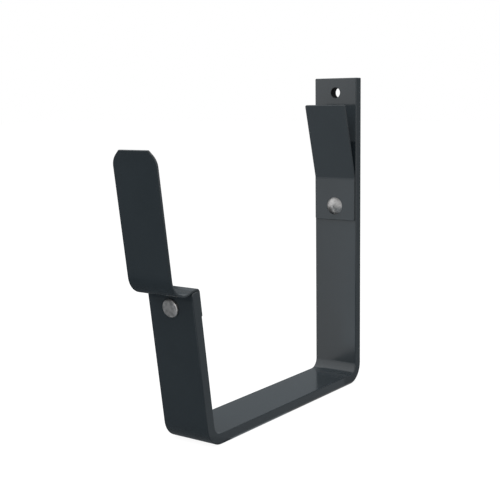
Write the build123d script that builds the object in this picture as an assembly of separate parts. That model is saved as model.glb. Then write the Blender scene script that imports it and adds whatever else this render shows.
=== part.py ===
from build123d import *
import os
from math import asin, cos, radians, sin, tan

# Bracket for a box gutter, in millimetres. X runs across the flat bar and is 0 in its middle,
# +Y points at the fascia board, +Z is up. The origin is the centre of the fixing hole, on the
# face that lies against the board.

# Flat bar, bent to a hook: tall back leg, bottom, and front leg that leans outward
bar_width = 25.0
bar_thickness = 5.0
bar_bend_radius = 5.0
bar_corner_round = 0.6
bar_edge_round = 0.45
trough_width = 122.5
back_leg_height = 161.5
front_leg_length = 71.4
front_leg_lean = 8.0
front_leg_end_round = 1.3

# Fixing hole, near the top of the back leg
fixing_hole_diameter = 5.5
fixing_hole_from_top = 7.5

# Thin sheet of the front tongue and of the rear clip, a little narrower than the bar
sheet_thickness = 1.0
sheet_margin = 0.5
sheet_corner_round = 0.8
sheet_edge_bevel = 0.2

# Front tongue: flange on the inner face of the leg, fold over its end, seat that droops a little
# past the leg's rounded corner, and upright tongue
flange_length = 12.0
fold_radius = 1.0
seat_clearance = 0.1
seat_droop = 12.0
tongue_gap = 10.5
tongue_bend_radius = 8.0
tongue_height = 62.8
tongue_corner_cut = 4.0
tongue_corner_round = 7.0

# Rear clip: flat part on the back leg, then a part that leans out over the trough
clip_above_floor = 82.2
clip_flat_length = 22.8
clip_lean_length = 39.0
clip_lean = 14.8
clip_bend_radius = 2.5

# Both rivets, with the domed head on the sheet and the tail hammered flat or into a countersink
rivet_diameter = 5.0
rivet_clearance = 0.1
dome_diameter = 9.1
dome_height = 2.6
flat_tail_diameter = 8.2
flat_tail_height = 1.2
flat_tail_bevel = 0.35
countersink_diameter = 9.0

# Their distances from the end of the front leg and from the lower end of the clip
front_rivet_from_end = 7.5
rear_rivet_from_end = 7.4

bar_half = bar_thickness / 2
sheet_half = sheet_thickness / 2
sheet_width = bar_width - 2 * sheet_margin
rivet_radius = rivet_diameter / 2
dome_radius = dome_diameter / 2
bar_top = fixing_hole_from_top
bar_base = bar_top - back_leg_height
floor_top = bar_base + bar_thickness
lean = radians(front_leg_lean)
clip_angle = radians(clip_lean)

# Where the outer face of the front leg would meet the plane of the bottom's lower face
foot_y = -bar_thickness - trough_width - bar_thickness * (1 / cos(lean) - tan(lean))


def leg_point(out, up):
    """Side view point, at a distance out from the front leg's outer face and up along the leg."""
    return Vector(foot_y - up * sin(lean) - out * cos(lean), bar_base + up * cos(lean) - out * sin(lean))


def bent_profile(points, radii, thickness):
    """Side view of a strip that is bent along a line through the middle of its thickness."""
    return trace(FilletPolyline(*points, radius=radii), thickness)


def across(profile, width):
    """Solid of a side view, with its width centred on the bracket's middle plane."""
    return extrude(Plane.YZ * profile, width / 2, both=True)


def edge_at(solid, x, point):
    """Edge that runs through the strip nearest to a point of the side view, on one side."""
    return solid.edges().sort_by_distance(Vector(x, point.X, point.Y))[0]


def soften(sheet):
    """Bevels the outline of a thin sheet, whose corners are round already."""
    bends = sheet.edges().filter_by(Axis.X).filter_by(lambda e: abs(e.length - sheet_width) < 0.001)
    through = sheet.edges().filter_by(lambda e: abs(e.length - sheet_thickness) < 0.001)
    return chamfer(sheet.edges() - bends - through, sheet_edge_bevel)


# Rivets: planes on the leg's outer faces, with their normals pointing away from the trough
def front_rivet_plane():
    at = leg_point(0, front_leg_length - front_rivet_from_end)
    return Plane(origin=(0, at.X, at.Y), x_dir=(1, 0, 0), z_dir=(0, -cos(lean), -sin(lean)))


def rear_rivet_plane():
    height = floor_top + clip_above_floor + rear_rivet_from_end
    return Plane(origin=(0, 0, height), x_dir=(1, 0, 0), z_dir=(0, 1, 0))


def rivet_hole(depth):
    """Drilled hole for a rivet's shank, reaching the same depth to both sides of the plane."""
    return Cylinder(rivet_radius + rivet_clearance, 2 * depth)


def rivet_sink():
    """Countersink for the rear rivet's tail, opening at the plane."""
    depth = countersink_diameter / 2 - rivet_radius
    mouth = countersink_diameter / 2 + rivet_clearance
    return Pos(0, 0, -depth / 2) * Cone(rivet_radius + rivet_clearance, mouth, depth)


def turned_rivet(tail):
    """Rivet with a domed head on the sheet, turned from its tail's outline of radius and height."""
    sheet_face = -bar_thickness - sheet_thickness
    ball = (dome_radius**2 + dome_height**2) / (2 * dome_height)
    half_turn = asin(dome_radius / ball) / 2
    rim = (dome_radius, sheet_face)
    crown = (0, sheet_face - dome_height)
    middle = (ball * sin(half_turn), crown[1] + ball * (1 - cos(half_turn)))
    section = Polyline(crown, *tail, (rivet_radius, sheet_face), rim)
    section += ThreePointArc(rim, middle, crown)
    return revolve(Plane.XZ * make_face(section), Axis.Z)


def make_front_rivet():
    rim = flat_tail_diameter / 2
    flat = (rim - flat_tail_bevel, flat_tail_height)
    shoulder = (rim, flat_tail_height - flat_tail_bevel)
    tail = [(0, flat_tail_height), flat, shoulder, (rim, 0), (rivet_radius, 0)]
    return front_rivet_plane() * turned_rivet(tail)


def make_rear_rivet():
    sunk = countersink_diameter / 2
    tail = [(0, 0), (sunk, 0), (rivet_radius, rivet_radius - sunk)]
    return rear_rivet_plane() * turned_rivet(tail)


# Flat bar with the fixing hole and both rivet holes
def make_hook_strip():
    corner_up = bar_half * (1 - sin(lean)) / cos(lean)
    back_top = Vector(-bar_half, bar_top)
    rear_corner = Vector(-bar_half, bar_base + bar_half)
    front_corner = leg_point(-bar_half, corner_up)
    leg_end = leg_point(-bar_half, front_leg_length)
    points = [back_top, rear_corner, front_corner, leg_end]
    profile = bent_profile(points, bar_bend_radius + bar_half, bar_thickness)
    for corner in (Vector(0, bar_top), Vector(-bar_thickness, bar_top)):
        profile = fillet(profile.vertices().sort_by_distance(corner)[0], bar_corner_round)
    for corner in (leg_point(0, front_leg_length), leg_point(-bar_thickness, front_leg_length)):
        profile = fillet(profile.vertices().sort_by_distance(corner)[0], front_leg_end_round)
    strip = across(profile, bar_width)
    strip = fillet(strip.faces().filter_by(Axis.X).edges(), bar_edge_round)
    strip -= Plane.XZ * Cylinder(fixing_hole_diameter / 2, 4 * bar_thickness)
    strip -= front_rivet_plane() * rivet_hole(2 * bar_thickness)
    strip -= rear_rivet_plane() * rivet_hole(2 * bar_thickness)
    strip -= rear_rivet_plane() * rivet_sink()
    return strip


# Sheet tongue that the gutter's front bead is held with
def make_front_tongue():
    flange_out = -bar_thickness - sheet_half
    seat_up = front_leg_length + sheet_half
    tongue_out = tongue_gap + sheet_half
    top_up = front_leg_length + tongue_height
    droop = radians(seat_droop)
    crest_radius = front_leg_end_round + sheet_half
    crest_out = crest_radius * tan(droop / 2) - front_leg_end_round + seat_clearance
    bend_up = seat_up - (tongue_out - crest_out) * tan(droop)
    flange_end = leg_point(flange_out, front_leg_length - flange_length)
    fold = leg_point(flange_out, seat_up)
    crest = leg_point(crest_out, seat_up)
    bend = leg_point(tongue_out, bend_up)
    top = leg_point(tongue_out, top_up)
    radii = [fold_radius + sheet_half, crest_radius, tongue_bend_radius + sheet_half]
    profile = bent_profile([flange_end, fold, crest, bend, top], radii, sheet_thickness)
    sheet = across(profile, sheet_width)
    shoulder = leg_point(tongue_out, top_up - tongue_corner_cut)
    for x in (-sheet_width / 2, sheet_width / 2):
        inset = x - tongue_corner_cut if x > 0 else x + tongue_corner_cut
        sheet = fillet(edge_at(sheet, x, flange_end), sheet_corner_round)
        sheet = chamfer(edge_at(sheet, x, top), tongue_corner_cut)
        sheet = fillet(edge_at(sheet, inset, top), sheet_corner_round)
        sheet = fillet(edge_at(sheet, x, shoulder), tongue_corner_round)
    sheet = soften(sheet)
    return sheet - front_rivet_plane() * rivet_hole(2 * bar_thickness)


# Sheet clip that the gutter's rear edge is held with
def make_rear_clip():
    middle = -bar_thickness - sheet_half
    low = Vector(middle, floor_top + clip_above_floor)
    bend = low + Vector(0, clip_flat_length)
    top = bend + Vector(-sin(clip_angle), cos(clip_angle)) * clip_lean_length
    profile = bent_profile([low, bend, top], clip_bend_radius + sheet_half, sheet_thickness)
    sheet = across(profile, sheet_width)
    for x in (-sheet_width / 2, sheet_width / 2):
        sheet = fillet(edge_at(sheet, x, low), sheet_corner_round)
        sheet = fillet(edge_at(sheet, x, top), sheet_corner_round)
    sheet = soften(sheet)
    return sheet - rear_rivet_plane() * rivet_hole(2 * bar_thickness)


nodes = {
    "hook_strip": make_hook_strip(),
    "front_tongue": make_front_tongue(),
    "front_rivet": make_front_rivet(),
    "rear_clip": make_rear_clip(),
    "rear_rivet": make_rear_rivet(),
}
os.makedirs("parts", exist_ok=True)
for name, solid in nodes.items():
    export_step(solid, f"parts/{name}.step")
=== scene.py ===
from math import radians
import bpy
from mathutils import Euler, Matrix, Vector


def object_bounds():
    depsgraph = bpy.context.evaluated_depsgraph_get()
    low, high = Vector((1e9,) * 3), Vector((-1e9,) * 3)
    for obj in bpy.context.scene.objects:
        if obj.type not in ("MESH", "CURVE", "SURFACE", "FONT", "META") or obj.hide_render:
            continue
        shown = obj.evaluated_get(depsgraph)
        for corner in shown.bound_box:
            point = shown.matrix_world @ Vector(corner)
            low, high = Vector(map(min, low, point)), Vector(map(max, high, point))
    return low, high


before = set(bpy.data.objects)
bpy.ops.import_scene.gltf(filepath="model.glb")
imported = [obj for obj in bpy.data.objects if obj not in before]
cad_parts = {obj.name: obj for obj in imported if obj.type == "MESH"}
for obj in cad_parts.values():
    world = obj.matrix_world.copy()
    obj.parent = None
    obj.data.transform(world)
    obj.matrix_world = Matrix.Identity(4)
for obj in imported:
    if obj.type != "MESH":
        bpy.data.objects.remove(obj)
cad_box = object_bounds()

# Everything is in metres, with the origin in the fixing hole, -Y toward the viewer and +Z up
floor_height = cad_box[0].z

# Camera: where it stands, how it is turned, tilted down and rolled, in degrees, and its lens, in mm
camera_place = Vector((0.2709, -0.4557, -0.0045))
camera_turn = 36.006
camera_tilt = 8.478
camera_roll = 0.784
camera_lens = 71.2
camera_sensor = 36.0

# Colours, linear: the coat, the front rivet's hammered tail, the rear rivet's dome, and the studio's
coat_colour = (0.0208, 0.0286, 0.0343)
tail_colour = (0.67, 0.65, 0.64)
dome_colour = (0.405, 0.402, 0.399)
white = (1.0, 1.0, 1.0)
cool_grey = (0.93, 1.0, 1.05)

# Roughness of the coat, from its glossiest clouds to its dullest, what an edge adds, and of the rivets
coat_glossiest = 0.14
coat_dullest = 0.18
edge_dulling = 0.2
tail_roughness = 0.50
dome_roughness = 0.36

# Sizes of the surface detail, and the depth of what is in relief
coat_cloud_size = 0.02
orange_peel_size = 0.0012
orange_peel_depth = 0.00004
powder_grain_size = 0.00025
powder_grain_depth = 0.00002
tail_mark_size = 0.0016
tail_mark_depth = 0.00006
dome_mark_size = 0.0009
dome_mark_depth = 0.00016
# Width of the edge band, where the coat is darker, partly by painted shade, and rivet metal lighter, partly
# by a painted highlight
edge_band_width = 0.0004
# Reach of the painted shade where a rivet meets the coat
crevice_shade_reach = 0.003

# Just past the radius of the fixing hole, whose wall gets painted shade
shaded_hole_reach = 0.0028

# White ground and room. Of the light that falls on it, the ground returns one share to the object and
# another to the eye, for which it also glows. The room has one brightness as light and one as seen.
ground_size = 12.0
ground_returns = 0.75
ground_returns_seen = 0.16
ground_glow = 0.94
room_light = 0.45
room_seen = 1.0

# Softboxes: place, aim, width, height, and watts for each square metre
overhead_lamp = ((-0.20, -0.30, 0.60), (0, -0.07, -0.1), 1.1, 1.1, 5.4)
low_front_lamp = ((-0.77, -1.29, 0.06), (0, 0, 0), 0.4, 0.3, 2.48)

# Cards round the bracket: plans of those that stand, of those that lie on the ground, and of the bright
# card's roof. Seen from the side that glows, a standing card's plan runs from left to right, and the
# corners of the others run anticlockwise.
card_clearance = 0.001
beside_bar = cad_box[1].x + card_clearance
front_card_side = [(-0.060, -0.150), (-0.034, -0.100)]
front_card_stands = [(-0.020, -0.250), (-0.092, -0.222), (-0.060, -0.150)]
front_card_lies = [(-0.034, -0.100), *reversed(front_card_stands), (0.040, -0.180), (0.040, -0.125)]
right_card_stands = [(0.169, 0.244), (0.315, 0.161)]
right_card_lies = [(beside_bar, -0.015), (beside_bar, -0.160), (0.315, -0.160), *reversed(right_card_stands)]
back_card_stands = [(0.054, 0.309), (0.169, 0.244)]
back_card_lies = [(beside_bar, 0.309), (beside_bar, -0.015), *reversed(back_card_stands)]
rear_card_stands = [(-0.750, 0.250), (0.050, 0.750)]
left_card_bar_side = [(-0.13, -0.16), (-0.032, -0.030), (-beside_bar, -0.012), (-beside_bar, 0.02)]
left_card_lies = [(-0.60, 0.0), (-0.45, -0.55), *left_card_bar_side]
near_card_lies = [(0.041, -0.160), (0.020, -0.260), (0.020, -0.360), (0.320, -0.360), (0.320, -0.160)]
floor_card_lies = [(-0.033, -0.07), (-1.322, -2.254), (-0.539, -2.254), (0.116, -0.07)]
bright_card_stands = [(-0.2, -2.3), (-2.3, -0.9)]
bright_card_covers = [(-2.3, 0.4), (-0.2, 0.4), *bright_card_stands]

# Heights of their lower and upper edges. The floor card lies under the front card, which hides it there.
card_lift = 0.0003
card_foot = floor_height + card_lift
floor_card_height = floor_height + card_lift / 2
front_side_top = -0.05
front_card_top = 0.02
tall_card_top = 0.15
rear_card_split = 0.12
rear_card_top = 0.60
bright_card_foot = -0.1
bright_card_top = 1.2

# Small cards: a shelf under the leaning clip, one in the gap behind it, and one under the tongue's bend
shelf_front = [(-0.111, -0.125, -0.0564), (-0.054, -0.125, -0.0564)]
shelf_back = [(0.013, -0.008, -0.0455), (-0.016, -0.008, -0.0455)]
gap_low = [(0.0115, -0.0062, -0.041), (-0.0115, -0.0062, -0.041)]
gap_high = [(-0.0115, -0.0143, -0.0068), (0.0115, -0.0143, -0.0068)]
bend_card_covers = [(-0.035, -0.176), (0.0125, -0.176), (0.0125, -0.1435), (-0.035, -0.1435)]
bend_card_height = -0.088

# How bright each card is, where 1 is white
card_levels = {
    "front_card": 0.15,
    "right_card": 0.44,
    "back_card": 0.27,
    "rear_card": 0.345,
    "rear_card_top": 0.44,
    "left_card": 0.06,
    "near_card": 0.20,
    "clip_card": 0.56,
    "bend_card": 0.06,
    "gap_card": 0.27,
    "bright_card": 1.5,
    "floor_card": 1.45,
}


class Nodes:
    """Short way to make and join shader nodes in one node tree."""

    def __init__(self, tree):
        self.tree = tree
        tree.nodes.clear()

    def add(self, kind, inputs=None, **settings):
        """New node, with an input that is a socket linked to it, and any other set to its value."""
        node = self.tree.nodes.new(kind)
        for name, value in settings.items():
            setattr(node, name, value)
        for name, value in (inputs or {}).items():
            socket = node.inputs[name]
            if isinstance(value, bpy.types.NodeSocket):
                self.tree.links.new(value, socket)
            else:
                socket.default_value = value
        return node

    def math(self, operation, first, second):
        return self.add("ShaderNodeMath", {0: first, 1: second}, operation=operation).outputs[0]

    def noise(self, place, size, detail=2.0):
        inputs = {"Vector": place, "Scale": 1 / size, "Detail": detail}
        return self.add("ShaderNodeTexNoise", inputs).outputs["Fac"]

    def between(self, noise, low, high):
        """Spreads noise, most of which lies from 0.3 to 0.7, from a low to a high value."""
        inputs = {"Value": noise, "From Min": 0.3, "From Max": 0.7, "To Min": low, "To Max": high}
        return self.add("ShaderNodeMapRange", inputs).outputs["Result"]

    def mix_colour(self, share, first, second):
        """Mix of two colours, by the numbers of the node's sockets, because their names repeat."""
        return self.add("ShaderNodeMix", {0: share, 6: first, 7: second}, data_type="RGBA").outputs[2]


def rgba(colour, level=1.0):
    """Colour at a level, for a node's socket."""
    return (*(level * part for part in colour), 1.0)


def new_material(name):
    """New material, and its emptied node tree."""
    material = bpy.data.materials.new(name)
    material.use_nodes = True
    return material, Nodes(material.node_tree)


def seen_directly(nodes):
    """1 for rays from the camera and for those that gloss or glass sends on, 0 for diffuse light."""
    path = nodes.add("ShaderNodeLightPath").outputs
    gloss = nodes.math("MAXIMUM", path["Is Glossy Ray"], path["Is Transmission Ray"])
    return nodes.math("MAXIMUM", path["Is Camera Ray"], gloss)


def edge_share(nodes):
    """Share from 0 on a flat face to 1 on an edge, from how far a rounded normal turns away."""
    rounded = nodes.add("ShaderNodeBevel", {"Radius": edge_band_width}, samples=6).outputs["Normal"]
    plain = nodes.add("ShaderNodeNewGeometry").outputs["Normal"]
    turned = nodes.add("ShaderNodeVectorMath", {0: rounded, 1: plain}, operation="DOT_PRODUCT")
    inputs = {"Value": turned.outputs["Value"], "From Min": 0.999, "From Max": 0.88}
    return nodes.add("ShaderNodeMapRange", inputs).outputs["Result"]


def crevice_shade_share(nodes):
    """Share from 0 in the open to 1 deep in a hole or a corner, where painted shade goes."""
    inputs = {"Distance": crevice_shade_reach}
    opened = nodes.add("ShaderNodeAmbientOcclusion", inputs, samples=8).outputs["AO"]
    inputs = {"Value": opened, "From Min": 0.85, "From Max": 0.45}
    return nodes.add("ShaderNodeMapRange", inputs).outputs["Result"]


def shaded_hole_share(nodes, place):
    """1 on the wall of the fixing hole, which runs along Y through the origin, and 0 elsewhere; there the
    coat gets painted shade.
    """
    across = nodes.add("ShaderNodeVectorMath", {0: place, 1: (1, 0, 1)}, operation="MULTIPLY").outputs[0]
    reach = nodes.add("ShaderNodeVectorMath", {0: across}, operation="LENGTH").outputs["Value"]
    return nodes.math("LESS_THAN", reach, shaded_hole_reach)


def powder_coat(name):
    """Semi-gloss coat with fine orange peel, a trace of grain, duller edges darkened partly by painted shade,
    and painted shade on the dull wall of the fixing hole.
    """
    material, nodes = new_material(name)
    place = nodes.add("ShaderNodeTexCoord").outputs["Object"]
    cloud = nodes.noise(place, coat_cloud_size)
    grain = nodes.noise(place, powder_grain_size)
    peel = nodes.noise(place, orange_peel_size, detail=3.0)
    shaded_hole_wall = shaded_hole_share(nodes, place)
    edge = edge_share(nodes)
    body = nodes.mix_colour(nodes.between(cloud, 0.0, 1.0), rgba(coat_colour, 0.95), rgba(coat_colour, 1.05))
    speckled = nodes.mix_colour(nodes.between(grain, 0.0, 0.2), body, rgba(coat_colour, 1.4))
    # Darker edges: partly a thinner coat, partly painted shade that tones down their highlights
    edge_shaded_film = nodes.mix_colour(edge, speckled, rgba(coat_colour, 0.85))
    fine = {"Height": grain, "Strength": 0.10, "Distance": powder_grain_depth}
    fine_normal = nodes.add("ShaderNodeBump", fine).outputs["Normal"]
    coarse = {"Height": peel, "Strength": 0.20, "Distance": orange_peel_depth, "Normal": fine_normal}
    gloss = nodes.between(cloud, coat_glossiest, coat_dullest)
    dulled = nodes.math("ADD", gloss, nodes.math("MULTIPLY", edge, edge_dulling))
    inputs = {
        # Painted shade: the wall of the fixing hole is painted nearly black, and made dull
        "Base Color": nodes.mix_colour(shaded_hole_wall, edge_shaded_film, rgba(coat_colour, 0.1)),
        "Roughness": nodes.math("MAXIMUM", dulled, shaded_hole_wall),
        "Normal": nodes.add("ShaderNodeBump", coarse).outputs["Normal"],
    }
    shader = nodes.add("ShaderNodeBsdfPrincipled", inputs)
    nodes.add("ShaderNodeOutputMaterial", {"Surface": shader.outputs[0]})
    return material


def rivet_metal(name, colour, roughness, mark_size, mark_depth):
    """Bare hammered metal, lighter on its edges partly from polish and partly as a painted highlight, with
    painted shade where it meets the coat.
    """
    material, nodes = new_material(name)
    place = nodes.add("ShaderNodeTexCoord").outputs["Object"]
    marks = nodes.noise(place, mark_size, detail=3.0)
    grain = nodes.noise(place, powder_grain_size)
    body = nodes.mix_colour(nodes.between(marks, 0.0, 1.0), rgba(colour, 0.60), rgba(colour, 1.20))
    speckled = nodes.mix_colour(nodes.between(grain, 0.0, 0.5), body, rgba(colour, 0.85))
    # Lighter edges: partly polish from hammering, partly a painted highlight
    polished_and_highlit = nodes.mix_colour(edge_share(nodes), speckled, rgba(colour, 1.25))
    bump = {"Height": marks, "Strength": 0.6, "Distance": mark_depth}
    inputs = {
        # Painted shade: the metal is darkened where it meets the coat, by ambient occlusion
        "Base Color": nodes.mix_colour(crevice_shade_share(nodes), polished_and_highlit, rgba(colour, 0.3)),
        "Metallic": 1.0,
        "Roughness": nodes.between(marks, roughness - 0.06, roughness + 0.08),
        "Normal": nodes.add("ShaderNodeBump", bump).outputs["Normal"],
    }
    shader = nodes.add("ShaderNodeBsdfPrincipled", inputs)
    nodes.add("ShaderNodeOutputMaterial", {"Surface": shader.outputs[0]})
    return material


def dress(node, material):
    """Gives a node of the frame its material."""
    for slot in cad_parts[node].material_slots:
        slot.material = material


def make_floor():
    """White ground: plain where it is seen, and a pale diffuse surface that carries the shadow."""
    bpy.ops.mesh.primitive_plane_add(size=ground_size, location=(0, 0, floor_height))
    floor = bpy.context.object
    floor.name = "floor"
    material, nodes = new_material("white_ground")
    seen = seen_directly(nodes)
    paper = nodes.mix_colour(seen, rgba(white, ground_returns), rgba(white, ground_returns_seen))
    surface = nodes.add("ShaderNodeBsdfDiffuse", {"Color": paper})
    strength = nodes.math("MULTIPLY", seen, ground_glow)
    glow = nodes.add("ShaderNodeEmission", {"Color": rgba(white), "Strength": strength})
    both = nodes.add("ShaderNodeAddShader", {0: surface.outputs[0], 1: glow.outputs[0]})
    nodes.add("ShaderNodeOutputMaterial", {"Surface": both.outputs[0]})
    floor.data.materials.append(material)


def make_world():
    """White room, which lights the object more gently than it is seen."""
    world = bpy.data.worlds.new("studio")
    world.use_nodes = True
    bpy.context.scene.world = world
    nodes = Nodes(world.node_tree)
    light = nodes.add("ShaderNodeBackground", {"Color": rgba(white), "Strength": room_light})
    seen = nodes.add("ShaderNodeBackground", {"Color": rgba(white), "Strength": room_seen})
    inputs = {0: seen_directly(nodes), 1: light.outputs[0], 2: seen.outputs[0]}
    both = nodes.add("ShaderNodeMixShader", inputs)
    nodes.add("ShaderNodeOutputWorld", {"Surface": both.outputs[0]})


def make_camera():
    """Camera of the photograph's view, without a shift."""
    data = bpy.data.cameras.new("camera")
    data.lens = camera_lens
    data.sensor_width = camera_sensor
    camera = bpy.data.objects.new("camera", data)
    bpy.context.scene.collection.objects.link(camera)
    turn = Euler((radians(90 - camera_tilt), 0, radians(camera_turn))).to_matrix().to_4x4()
    roll = Matrix.Rotation(radians(-camera_roll), 4, "Z")
    camera.matrix_world = Matrix.Translation(camera_place) @ turn @ roll
    bpy.context.scene.camera = camera


def softbox(name, place, aim, width, height, power):
    """Area lamp of an even brightness, which neither the camera nor gloss sees."""
    light = bpy.data.lights.new(name, "AREA")
    light.shape = "RECTANGLE"
    light.size = width
    light.size_y = height
    light.energy = power * width * height
    lamp = bpy.data.objects.new(name, light)
    bpy.context.scene.collection.objects.link(lamp)
    lamp.location = place
    lamp.rotation_euler = (Vector(aim) - Vector(place)).to_track_quat("-Z", "Y").to_euler()
    lamp.visible_camera = False
    lamp.visible_glossy = False


def upright(plan, low, high):
    """Upright faces along a plan, from one height to another."""
    faces = []
    for start, end in zip(plan, plan[1:]):
        faces.append([(*start, low), (*end, low), (*end, high), (*start, high)])
    return faces


def flat(plan, height):
    """Flat face of a plan at one height, as a list that holds only this face."""
    return [[(x, y, height) for x, y in plan]]


def studio_card(name, faces, colour):
    """Card that only gloss sees, of an even colour on its front and clear from behind."""
    points = []
    corners = []
    for face in faces:
        corners.append(list(range(len(points), len(points) + len(face))))
        points.extend(face)
    mesh = bpy.data.meshes.new(name)
    mesh.from_pydata(points, [], corners)
    card = bpy.data.objects.new(name, mesh)
    bpy.context.scene.collection.objects.link(card)
    material, nodes = new_material(name)
    glow = nodes.add("ShaderNodeEmission", {"Color": colour, "Strength": 1.0})
    clear = nodes.add("ShaderNodeBsdfTransparent")
    behind = nodes.add("ShaderNodeNewGeometry").outputs["Backfacing"]
    one_sided = nodes.add("ShaderNodeMixShader", {0: behind, 1: glow.outputs[0], 2: clear.outputs[0]})
    nodes.add("ShaderNodeOutputMaterial", {"Surface": one_sided.outputs[0]})
    material.cycles.emission_sampling = "NONE"
    mesh.materials.append(material)
    card.visible_camera = False
    card.visible_diffuse = False
    card.visible_shadow = False


def make_cards():
    """All cards: a white one, and the others cool grey."""
    front_card = flat(front_card_lies, card_foot)
    front_card += upright(front_card_side, card_foot, front_side_top)
    front_card += upright(front_card_stands, card_foot, front_card_top)
    bright_card = flat(bright_card_covers, bright_card_top)
    bright_card += upright(bright_card_stands, bright_card_foot, bright_card_top)
    faces = {
        "front_card": front_card,
        "right_card": flat(right_card_lies, card_foot) + upright(right_card_stands, card_foot, tall_card_top),
        "back_card": flat(back_card_lies, card_foot) + upright(back_card_stands, card_foot, tall_card_top),
        "rear_card": upright(rear_card_stands, card_foot, rear_card_split),
        "rear_card_top": upright(rear_card_stands, rear_card_split, rear_card_top),
        "left_card": flat(left_card_lies, card_foot),
        "near_card": flat(near_card_lies, card_foot),
        "clip_card": [shelf_front + shelf_back],
        "bend_card": flat(bend_card_covers, bend_card_height),
        "gap_card": [gap_low + gap_high],
        "bright_card": bright_card,
        "floor_card": flat(floor_card_lies, floor_card_height),
    }
    for name, brightness in card_levels.items():
        colour = white if name == "bright_card" else cool_grey
        studio_card(name, faces[name], rgba(colour, brightness))


coat = powder_coat("powder_coat")
tail = rivet_metal("hammered_tail", tail_colour, tail_roughness, tail_mark_size, tail_mark_depth)
dome = rivet_metal("rivet_dome", dome_colour, dome_roughness, dome_mark_size, dome_mark_depth)
for node in ("hook_strip", "front_tongue", "rear_clip"):
    dress(node, coat)
dress("front_rivet", tail)
dress("rear_rivet", dome)

make_floor()
make_world()
make_camera()
softbox("overhead", *overhead_lamp)
softbox("low_front", *low_front_lamp)
make_cards()

scene = bpy.context.scene
scene.view_settings.view_transform = "Standard"
